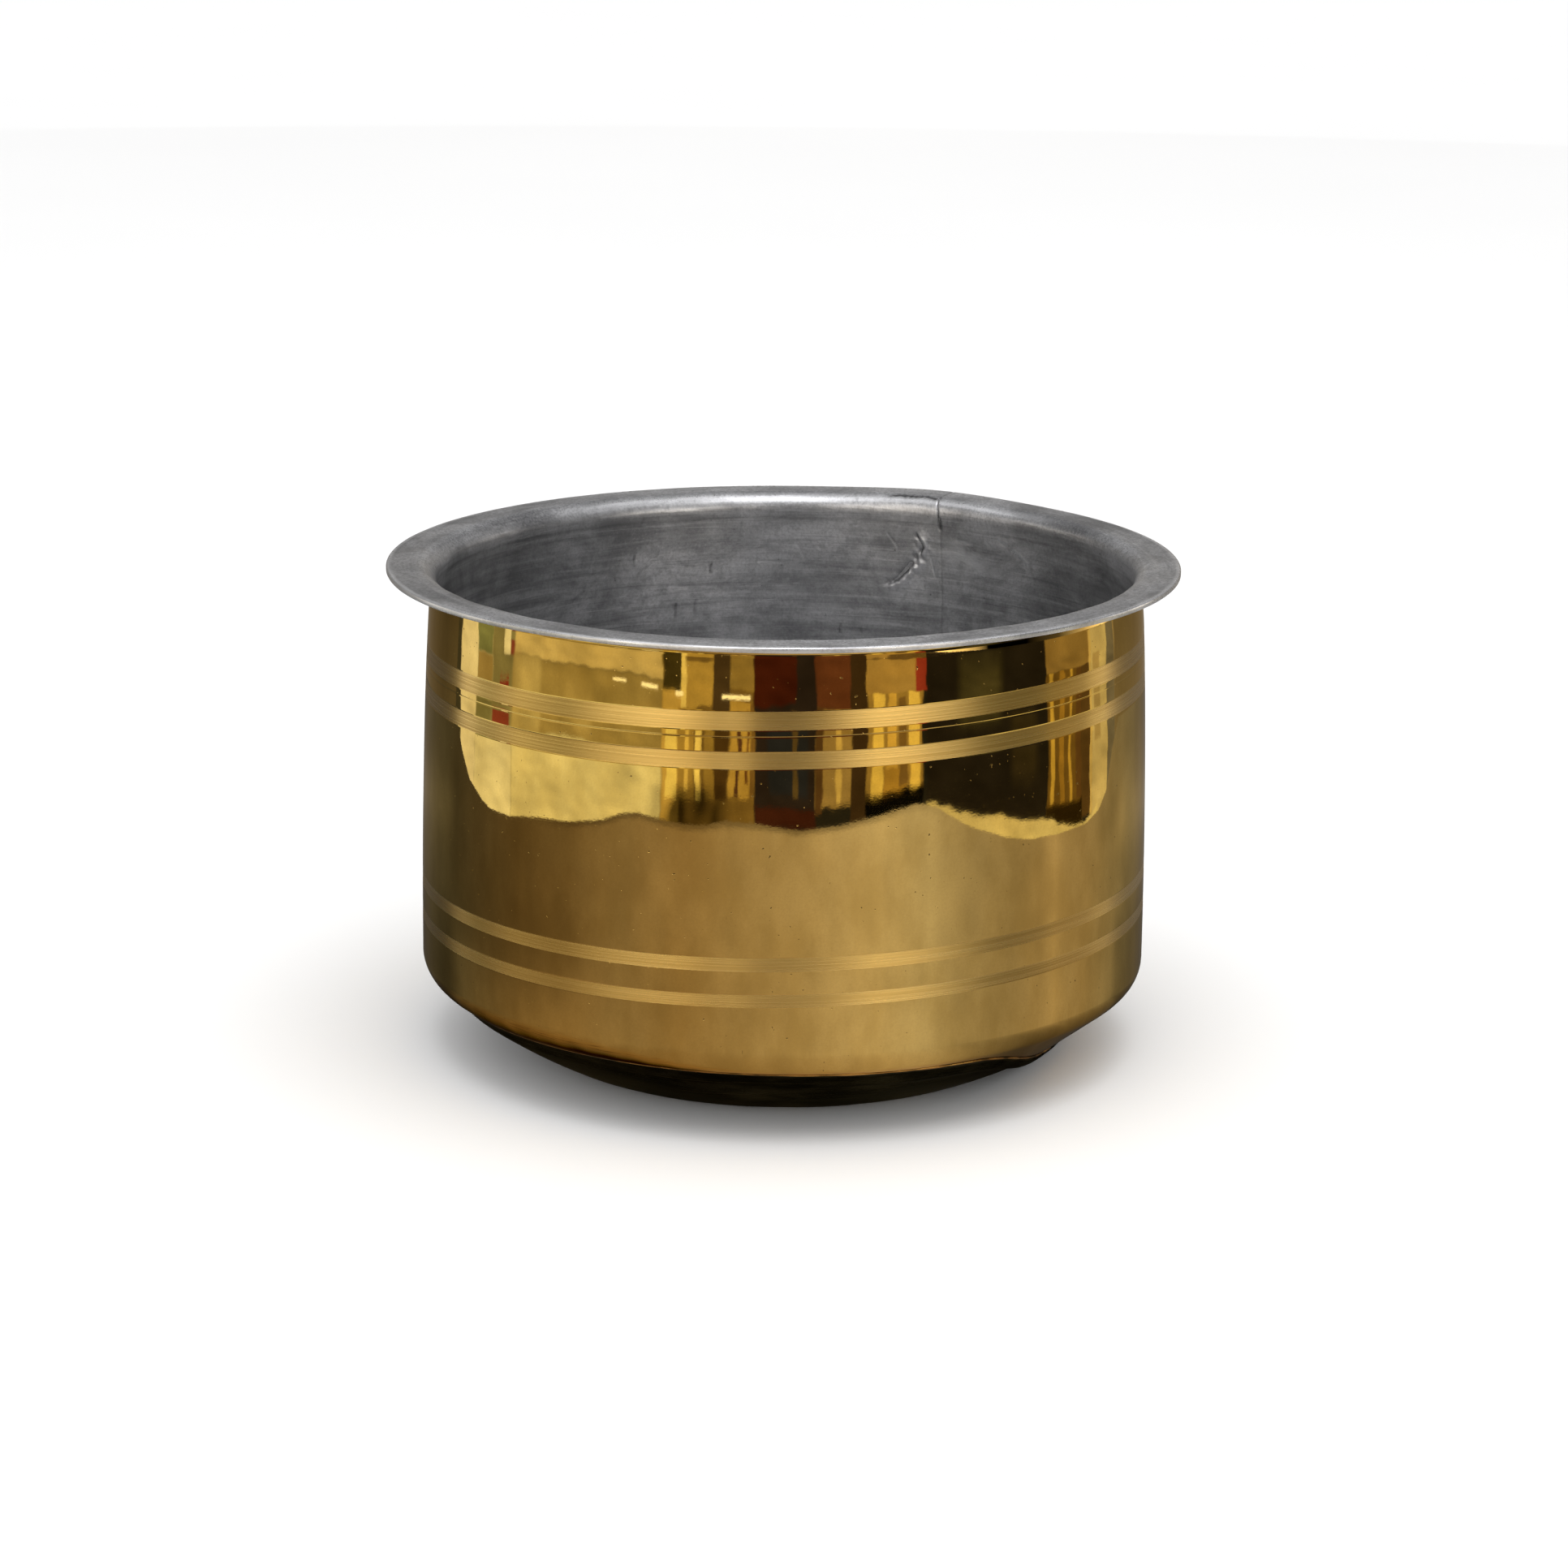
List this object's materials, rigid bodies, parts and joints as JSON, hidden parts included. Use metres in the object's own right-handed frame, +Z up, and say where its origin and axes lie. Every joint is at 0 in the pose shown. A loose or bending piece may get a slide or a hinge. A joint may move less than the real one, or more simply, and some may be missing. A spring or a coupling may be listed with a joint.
{
  "type": "flared-rim brass planter pot",
  "caption": "Round tin-lined brass pot with a flat flared rim, gently tapered wall, turned bands, rounded corner and dished base.",
  "frame": {"origin": "centre of the flat base, at the height the pot stands on", "axes": "+Z up along the pot's axis of revolution; the upright brazed seam is 62 degrees from +X towards +Y"},
  "size_m": [0.23, 0.23, 0.143],
  "materials": {
    "polished_brass": "lathe polished, with satin turned bands and fine round-the-pot scratches",
    "seam_braze": "filed flush and polished, slightly paler and duller than the sheet",
    "heat_darkened_brass": "unpolished, dark brown heat stain",
    "lap_braze": "scraped, scratched orange-gold",
    "tin": "wiped tin, satin grey with round-the-pot streaks"
  },
  "bodies": {
    "root": {"wall_shell": "polished_brass", "wall_seam_braze": "seam_braze", "base_dish": "heat_darkened_brass", "base_seam_braze": "lap_braze", "tin_lining": "tin"}
  },
  "joints": []
}
